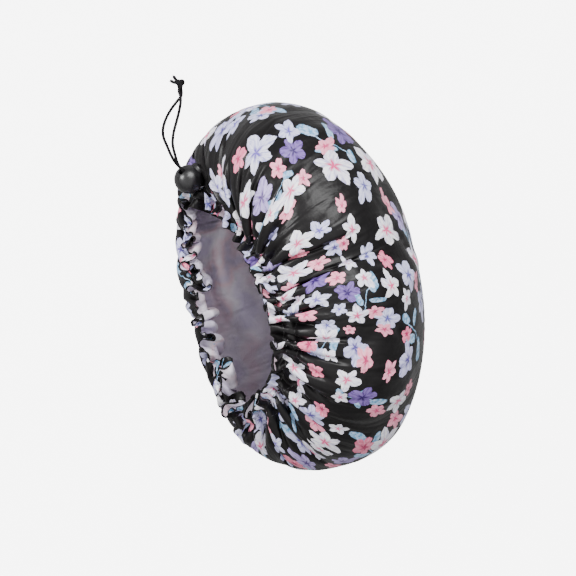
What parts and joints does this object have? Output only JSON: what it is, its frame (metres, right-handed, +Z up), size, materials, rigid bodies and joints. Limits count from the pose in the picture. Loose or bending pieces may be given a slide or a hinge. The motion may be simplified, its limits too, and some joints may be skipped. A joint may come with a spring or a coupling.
{
  "type": "shower cap",
  "caption": "Printed satin shower cap with a pale lining, gathered on a drawcord with a spring ball cord lock, lying on its side with its mouth open.",
  "frame": {"origin": "on the table, under the middle of the cap's and lock's footprint, the free cord left out", "axes": "+Z up from the table, +Y along the cap's longer way towards the lock's end, the mouth facing -X and up"},
  "size_m": [0.1809, 0.2764, 0.128],
  "materials": {
    "printed_satin": "black satin with a small floral print",
    "lining_satin": "pale satin",
    "cord_braid": "fine black braid",
    "lock_plastic": "satin black",
    "spring_steel": "bright wire",
    "black_thread": "close stitching"
  },
  "bodies": {
    "cap": {"outer_shell": "printed_satin", "lining": "lining_satin", "buttonhole": "black_thread", "drawcord_ring": "cord_braid"},
    "lock": {"lock_body": "lock_plastic", "lock_spring": "spring_steel", "drawcord_strand_left": "cord_braid", "drawcord_strand_right": "cord_braid", "drawcord_knot": "cord_braid"},
    "plunger": {"lock_plunger": "lock_plastic"}
  },
  "joints": [
    {"name": "lock_slide", "type": "slide", "parent": "cap", "child": "lock", "axis": [-0.4888, 0.5486, 0.6783], "range_m": [0, 0.04], "deforming": ["drawcord_strand_left", "drawcord_strand_right"]},
    {"name": "plunger_press", "type": "slide", "parent": "lock", "child": "plunger", "axis": [-0.6894, -0.7194, 0.0849], "range_m": [0, 0.0021], "stiffness_N_per_m": 500, "springref_m": -0.004, "deforming": ["lock_spring"]}
  ]
}
